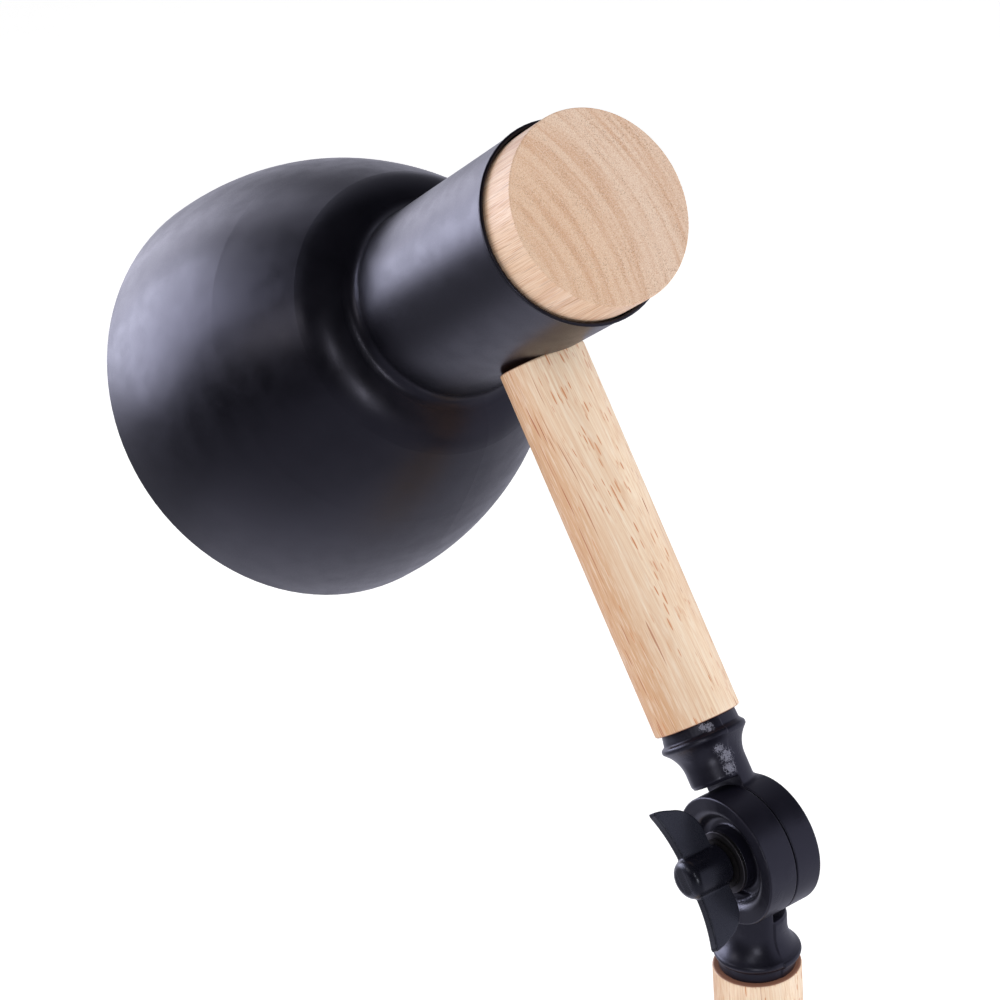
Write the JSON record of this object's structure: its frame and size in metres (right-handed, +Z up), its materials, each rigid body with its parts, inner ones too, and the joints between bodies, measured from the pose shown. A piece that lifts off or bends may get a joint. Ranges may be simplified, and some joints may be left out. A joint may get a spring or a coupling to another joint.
{
  "type": "adjustable desk lamp with wooden arms",
  "caption": "Desk lamp with a black spun shade on jointed round wooden arms, wing-knob hinges, a wooden end cap and a round weighted wooden base.",
  "frame": {"origin": "middle of the foot pad's underside, on the desk", "axes": "+X the way the head reaches, +Y the side of the wing knobs, +Z up"},
  "size_m": [0.3597, 0.16, 0.504],
  "materials": {
    "beech": "clear matt lacquer, straight grain",
    "cap_wood": "sanded end grain, clear matt lacquer",
    "base_wood": "clear matt lacquer",
    "shade_enamel": "semi-matt black enamel",
    "casting_black": "satin black coat on a pressure casting",
    "cover_black": "matt black coat",
    "knob_black": "fine moulded texture",
    "black_plastic": "matt moulded",
    "zinc_steel": "zinc plated",
    "weight_iron": "as cast",
    "foot_rubber": "soft matt sheet",
    "brass": "plain turned and pressed",
    "porcelain": "glazed white",
    "friction_fibre": "pressed fibre",
    "lead_insulation": "smooth insulation",
    "bulb_white": "smooth white moulding",
    "bulb_glass": "frosted inside"
  },
  "bodies": {
    "base": {"base_disc": "base_wood", "base_weight": "weight_iron", "base_cover": "cover_black", "cover_screws": "zinc_steel", "foot_pad": "foot_rubber", "base_casting": "casting_black", "stem_nipple": "zinc_steel", "stem_washer": "zinc_steel", "stem_nut": "zinc_steel", "switch_housing": "black_plastic", "switch_bezel": "black_plastic", "cord_grommet": "black_plastic", "terminal_block": "porcelain", "terminal_tubes": "brass", "base_lead": "lead_insulation", "switch_lead": "lead_insulation", "base_washer": "zinc_steel"},
    "switch_button": {"switch_button": "black_plastic"},
    "lower_arm": {"lower_arm_foot": "casting_black", "lower_dowel": "beech", "lower_foot_nipple": "zinc_steel", "elbow_casting": "casting_black", "elbow_nipple": "zinc_steel", "lower_arm_lead": "lead_insulation", "base_bolt": "zinc_steel", "base_friction_disc": "friction_fibre", "elbow_washer": "zinc_steel"},
    "base_knob_insert": {"base_knob_insert": "zinc_steel"},
    "base_wing_knob": {"base_wing_knob": "knob_black"},
    "upper_arm": {"upper_arm_foot": "casting_black", "upper_dowel": "beech", "upper_foot_nipple": "zinc_steel", "head_nipple": "zinc_steel", "upper_arm_lead": "lead_insulation", "elbow_bolt": "zinc_steel", "elbow_friction_disc": "friction_fibre", "neck_washer": "zinc_steel", "neck_nut": "zinc_steel"},
    "elbow_knob_insert": {"elbow_knob_insert": "zinc_steel"},
    "elbow_wing_knob": {"elbow_wing_knob": "knob_black"},
    "head": {"shade": "shade_enamel", "wood_cap": "cap_wood", "cap_screw": "zinc_steel", "holder_bracket": "zinc_steel", "holder_cap": "black_plastic", "holder_skirt": "black_plastic", "holder_core": "porcelain", "holder_screw_shell": "brass", "holder_contact": "brass", "holder_nipple": "zinc_steel", "holder_nut": "zinc_steel", "bulb_cap": "brass", "bulb_collar": "bulb_white", "bulb_globe": "bulb_glass", "head_lead": "lead_insulation"}
  },
  "joints": [
    {"name": "base_tilt", "type": "hinge", "parent": "base", "child": "lower_arm", "pos_m": [0, 0, 0.0615], "axis": [0, 1, 0], "range_deg": [-45, 25]},
    {"name": "elbow_tilt", "type": "hinge", "parent": "lower_arm", "child": "upper_arm", "pos_m": [0.02887, 0, 0.31486], "axis": [0, 1, 0], "range_deg": [-120, 60]},
    {"name": "head_swivel", "type": "hinge", "parent": "upper_arm", "child": "head", "pos_m": [0.13863, 0, 0.44916], "axis": [0.6328, 0, 0.7743], "range_deg": [-160, 160]},
    {"name": "base_knob_travel", "type": "slide", "parent": "lower_arm", "child": "base_knob_insert", "axis": [0, 1, 0], "range_m": [0, 0.0015]},
    {"name": "base_knob_turn", "type": "hinge", "parent": "base_knob_insert", "child": "base_wing_knob", "pos_m": [0, 0, 0.0615], "axis": [0, 1, 0], "range_deg": [0, 540]},
    {"name": "elbow_knob_travel", "type": "slide", "parent": "upper_arm", "child": "elbow_knob_insert", "axis": [0, 1, 0], "range_m": [0, 0.0015]},
    {"name": "elbow_knob_turn", "type": "hinge", "parent": "elbow_knob_insert", "child": "elbow_wing_knob", "pos_m": [0.02887, 0, 0.31486], "axis": [0, 1, 0], "range_deg": [0, 540]},
    {"name": "switch_press", "type": "slide", "parent": "base", "child": "switch_button", "axis": [0, 0, 1], "range_m": [-0.002, 0], "stiffness_N_per_m": 400, "springref_m": 0.002}
  ],
  "couplings": [
    {"joint": "base_knob_turn", "follows": "base_knob_travel", "rad_per_m": 6283},
    {"joint": "elbow_knob_turn", "follows": "elbow_knob_travel", "rad_per_m": 6283}
  ]
}
